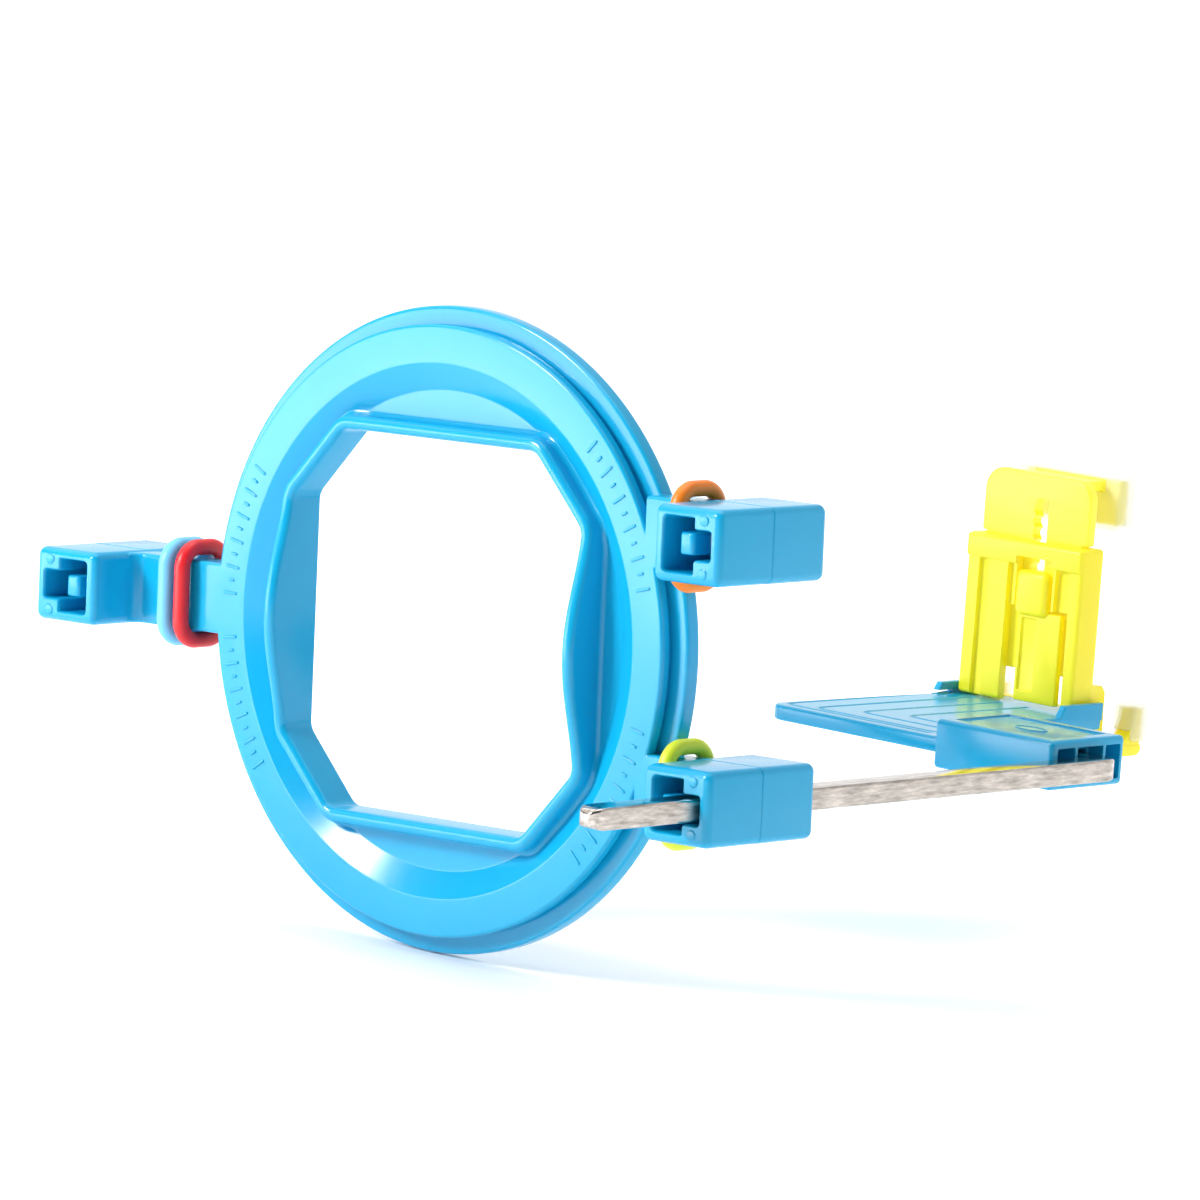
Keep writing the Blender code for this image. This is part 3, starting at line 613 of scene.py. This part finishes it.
# nested L-shaped steps in the plate's top
for (ax, ay), w in (((-54.6, 73.2), 1.0), ((-50.0, 74.6), 1.0), ((-44.6, 78.4), 1.0), ((-39.2, 82.4), 1.0)):
    path = [(-27.0 if ay < 80 else -29.6, ay), (ax + 1.6, ay), (ax + 0.5, ay + 0.4), (ax, ay + 1.6), (ax + 0.05 * (108 - ay), 108.0)]
    hw = w / 2
    bm = bmesh.new()
    secs = []
    for i, p in enumerate(path):
        pv = Vector(p)
        if i == 0:
            tdir = (Vector(path[1]) - pv).normalized()
        elif i == len(path) - 1:
            tdir = (pv - Vector(path[i - 1])).normalized()
        else:
            tdir = ((Vector(path[i + 1]) - pv).normalized() + (pv - Vector(path[i - 1])).normalized()).normalized()
        nn = Vector((-tdir.y, tdir.x))
        secs.append([(pv.x + nn.x * a, pv.y + nn.y * a, zz) for a, zz in
                     ((-hw - 0.35, 1.8), (-hw, 1.27), (-hw + 0.35, 1.05), (hw - 0.35, 1.05), (hw, 1.27), (hw + 0.35, 1.8))])
    skin(bm, secs)
    cuts.append(raw("groove", bm))
combine(plate, cuts, 'DIFFERENCE')
place(plate, "bite_block", HOLD, BLUE, "bite_block", ("bite_plate", "arm_socket_box"), "blue_plastic", 28)

# shallow mark in the recess
bm = bmesh.new()
ell = [(-13.4 + 2.6 * math.cos(2 * math.pi * k / 48), 79.2 + 1.5 * math.sin(2 * math.pi * k / 48)) for k in range(48)]
en = normals2(ell)
skin(bm, [[(p[0] + d.x * o, p[1] + d.y * o, z) for p, d in zip(ell, en)]
          for o, z in ((0.16, 3.55), (0.16, 3.66), (0.08, 3.72), (-0.08, 3.72), (-0.16, 3.66), (-0.16, 3.55))], cap=False)
place(raw("oval", bm), "box_oval_mark", HOLD, BLUE, "bite_block", (), "blue_plastic", 40)

# ---------------------------------------------------------------- sensor clamp body
body = rbox(-52.0, -30.2, 108.3, 113.3, 1.57, 25.4, 0.6, 5)
adds = [rbox(-51.9, -30.3, 107.9, 109.5, 21.9, 25.2, 0.35, 4),
        slab_ob([(114.35, 1.2), (114.35, -1.27), (107.0, -1.27), (106.4, -2.1), (107.0, -2.7), (114.35, -2.7),
                 (114.35, -4.8), (116.0, -4.8), (116.0, 1.2)], 'YZ', -51.95, -30.25),
        slab_ob([(114.36, -4.84), (120.2, -4.84), (121.0, -4.2), (121.0, -3.3), (114.36, -3.3)], 'YZ', -55.3, -26.9)]
for x0, x1 in ((-51.93, -50.0), (-34.6, -30.27)):
    adds.append(slab_ob([(112.4, 1.62), (114.38, 1.62), (114.38, 0.4), (115.97, 0.4), (115.97, 4.2), (115.2, 5.2),
                         (112.4, 5.2)], 'YZ', x0, x1))
combine(body, adds, 'UNION')
cuts = [rbox(-50.5, -31.7, 109.7, 112.3, -1.0, 30.0),
        rbox(-47.6, -34.6, 112.0, 113.6, 1.35, 30.0),
        rbox(-44.1, -32.2, 106.0, 110.3, -2.0, 15.7, 0.3, 3),
        rbox(-42.4, -35.5, 106.0, 110.3, 15.0, 23.1, 0.3, 3),
        rbox(-49.6, -47.6, 107.0, 109.0, -1.0, 21.8, 0.25, 3),
        rbox(-44.1, -42.9, 107.0, 109.2, 14.0, 21.8, 0.25, 3),
        rbox(-35.0, -32.2, 107.0, 109.2, 14.0, 21.8, 0.25, 3)]
combine(body, cuts, 'DIFFERENCE')
prongs = []
for x0, x1 in ((-29.5, -26.95), (-55.25, -52.7)):
    prongs.append(slab_ob([(114.8, -4.0), (120.9, -4.0), (120.9, 1.9), (119.2, 1.9), (119.0, 0.4), (118.2, -1.4),
                           (116.6, -2.9)], 'YZ', x0, x1, 0.3, 3))
combine(body, prongs, 'UNION')
place(body, "clamp_shell", HOLD, YELLOW, "clamp", ("clamp_body",), "yellow_plastic", 28)

for tag, x0, x1 in (("right", -29.5, -26.95), ("left", -55.25, -52.7)):
    pad = rbox(x0 - 0.75, x1 + 0.75, 118.0, 121.9, -2.9, 2.75, 1.0, 6)
    combine(pad, [slab_ob([(117.0, -5.0), (121.1, -5.0), (121.1, 2.1), (119.0, 2.1), (118.75, 0.5), (117.95, -1.3),
                           (117.0, -2.2)], 'YZ', x0 - 0.22, x1 + 0.22)], 'DIFFERENCE')
    place(pad, "silicone_tip_" + tag, HOLD, SILICONE, "clamp", ("lower_pad_" + tag,), "silicone", 35)

# pawl lever
lever = rbox(-41.5, -33.6, 108.45, 109.65, 1.9, 15.3, 0.3, 3)
combine(lever, [rbox(-41.9, -36.1, 107.5, 109.6, 14.6, 21.2, 0.9, 5), rbox(-40.6, -39.2, 109.2, 111.6, 20.0, 21.0)],
        'UNION')
combine(lever, [rbox(-40.9, -38.0, 107.9, 108.85, 3.5, 14.2, 0.25, 3)], 'DIFFERENCE')
place(lever, "pawl", HOLD, YELLOW_DEEP, "pawl", ("pawl_lever",), "yellow_plastic", 28)

# slider
head = rounded([(-51.1, 25.7), (-31.1, 25.7), (-31.1, 35.2), (-51.1, 35.2)], [0.45, 0.45, 3.2, 3.2], 8)
slider = slab_ob(head, 'XZ', 110.1, 111.9, 0.3, 4)
adds = [rbox(-50.1, -32.1, 110.12, 111.88, 6.3, 27.7),
        slab_ob([(111.0, 33.2), (118.9, 33.2), (118.9, 28.3), (121.0, 28.3), (121.0, 34.0), (120.4, 34.6), (111.0, 34.6)],
                'YZ', -48.2, -35.2, 0.25, 3),
        rbox(-50.8, -33.0, 118.88, 121.02, 28.28, 34.62, 0.5, 4)]
combine(slider, adds, 'UNION')
rack = [(-38.8, 8.3), (-38.8, 31.6), (-40.9, 31.6), (-41.5, 30.2)]
z = 31.6 - 2.6
while z > 10.3:
    rack += [(-41.5, z + 0.6), (-41.0, z), (-41.5, z - 0.6)]
    z -= 1.7
rack += [(-41.5, 8.3)]
combine(slider, [slab_ob(rack, 'XZ', 108.0, 114.0)], 'DIFFERENCE')
place(slider, "toothed_slider", HOLD, YELLOW_PALE, "slider", ("ratchet_slider",), "yellow_plastic", 28)

pad = rbox(-51.75, -32.05, 117.95, 122.0, 27.3, 35.45, 1.1, 6)
combine(pad, [rbox(-51.02, -32.78, 118.66, 121.24, 28.06, 34.84, 0.4, 3), rbox(-48.45, -34.95, 116.0, 119.5, 32.95, 34.84)],
        'DIFFERENCE')
place(pad, "silicone_lip", HOLD, SILICONE, "slider", ("upper_pad",), "silicone", 35)

# ---------------------------------------------------------------- stage
bm = bmesh.new()
bmesh.ops.create_grid(bm, x_segments=4, y_segments=4, size=6.0)
me = bpy.data.meshes.new("floor")
bm.to_mesh(me)
bm.free()
floor = bpy.data.objects.new("floor", me)
coll.objects.link(floor)
floor.location = (0, 0, -0.0002)
fm, fnt, fp = nodes_of("pale_floor")
fco = fnt.nodes.new("ShaderNodeTexCoord")
fn = noise(fnt, fco, 3.0, 2.0)
fnt.links.new(mixed(fnt, fn.outputs["Fac"], (0.93, 0.95, 0.965), (0.945, 0.96, 0.975)), fp.inputs["Base Color"])
fp.inputs["Roughness"].default_value = 0.45
fp.inputs["Emission Color"].default_value = (0.97, 0.985, 1.0, 1)
# painted light: the floor glows, weakly within a few centimetres of the ring's foot and more strongly farther out, so
# the far floor is lifted to the backdrop's white and the shadows near the object stay soft but lightened
fdist = fnt.nodes.new("ShaderNodeVectorMath")
fdist.operation = 'DISTANCE'
fdist.inputs[1].default_value = (-0.01, -0.055, 0.0)
fnt.links.new(fco.outputs["Object"], fdist.inputs[0])
fnt.links.new(mapped(fnt, fdist.outputs["Value"], 0.05, 0.40, 0.035, 0.17), fp.inputs["Emission Strength"])
fp.inputs["Specular IOR Level"].default_value = 0.25
me.materials.append(fm)

world = bpy.data.worlds.new("studio")
scene.world = world
world.use_nodes = True
wnt = world.node_tree
wnt.nodes.clear()
wo = wnt.nodes.new("ShaderNodeOutputWorld")
tc = wnt.nodes.new("ShaderNodeTexCoord")
sp = wnt.nodes.new("ShaderNodeSeparateXYZ")
wnt.links.new(tc.outputs["Generated"], sp.inputs["Vector"])


def world_ramp(src, stops):
    mr = wnt.nodes.new("ShaderNodeMapRange")
    mr.inputs["From Min"].default_value = -1.0
    mr.inputs["From Max"].default_value = 1.0
    wnt.links.new(src, mr.inputs["Value"])
    ramp = wnt.nodes.new("ShaderNodeValToRGB")
    wnt.links.new(mr.outputs["Result"], ramp.inputs["Fac"])
    cr = ramp.color_ramp
    while len(cr.elements) > 1:
        cr.elements.remove(cr.elements[-1])
    for i, (pos, col) in enumerate(stops):
        el = cr.elements[0] if i == 0 else cr.elements.new(pos)
        el.position = pos
        el.color = (*col, 1)
    return ramp.outputs["Color"]


# a bright backdrop behind the object, a dimmer room in front of it, a softer ceiling
depth = world_ramp(sp.outputs["Y"], [(0.0, (0.08, 0.085, 0.09)), (0.42, (0.16, 0.165, 0.17)), (0.62, (0.90, 0.92, 0.95)),
                                     (1.0, (1.0, 1.0, 1.0))])
lift = world_ramp(sp.outputs["Z"], [(0.0, (1, 1, 1)), (0.62, (1, 1, 1)), (0.80, (0.62, 0.62, 0.63)), (1.0, (0.72, 0.72, 0.73))])
mul = wnt.nodes.new("ShaderNodeMix")
mul.data_type = 'RGBA'
mul.blend_type = 'MULTIPLY'
mul.inputs["Factor"].default_value = 1.0
wnt.links.new(depth, mul.inputs["A"])
wnt.links.new(lift, mul.inputs["B"])
bg = wnt.nodes.new("ShaderNodeBackground")
wnt.links.new(mul.outputs["Result"], bg.inputs["Color"])
bg.inputs["Strength"].default_value = 1.15
wnt.links.new(bg.outputs["Background"], wo.inputs["Surface"])


def softbox(name, loc, aim, size, radiance, colour=(1, 1, 1)):
    """A rectangular light; radiance is the brightness of its face."""
    ld = bpy.data.lights.new(name, 'AREA')
    ld.shape = 'RECTANGLE'
    ld.size, ld.size_y = size
    ld.energy = radiance * math.pi * size[0] * size[1]
    ld.color = colour
    lo = bpy.data.objects.new(name, ld)
    coll.objects.link(lo)
    lo.location = loc
    lo.rotation_euler = (Vector(aim) - Vector(loc)).to_track_quat('-Z', 'Y').to_euler()
    return lo


softbox("key", (-0.32, -0.635, 0.447), (0.0, -0.04, 0.05), (0.19, 0.25), 40.0)
glint = softbox("low_left", (-0.25, -0.34, 0.060), (-0.02, -0.05, 0.05), (0.36, 0.13), 4.8)
glint.visible_diffuse = False
softbox("top", (0.05, 0.05, 0.95), (0.02, 0.02, 0.03), (0.7, 0.7), 1.3)
sun_d = bpy.data.lights.new("wide_overhead", 'SUN')
sun_d.energy = 1.0
sun_d.angle = math.radians(70)
sun = bpy.data.objects.new("wide_overhead", sun_d)
coll.objects.link(sun)
sun.rotation_euler = Vector((0.40, 0.12, -0.88)).to_track_quat('-Z', 'Y').to_euler()

cam_d = bpy.data.cameras.new("camera")
cam_d.sensor_width = 36.0
cam_d.sensor_fit = 'HORIZONTAL'
cam_d.lens = 270.0
cam_d.clip_start = 0.05
cam_d.clip_end = 30.0
cam = bpy.data.objects.new("camera", cam_d)
coll.objects.link(cam)
# camera place and axes, worked out for the holder's frame of reference (mm)
cam_at = Vector((ARM_X + 787.851, ARM_Y - 898.428, ARM_Z + 185.443)) * MM
cx_ = Vector((0.7325789, 0.6766696, 0.0737997))
cy_ = -Vector((0.1435210, -0.0475700, -0.9885033))
cz_ = -Vector((-0.6653795, 0.7347485, -0.1319650))
cam.matrix_world = Matrix.Translation(cam_at) @ Matrix((cx_, cy_, cz_)).transposed().to_4x4()
scene.camera = cam
scene.view_settings.view_transform = 'Standard'
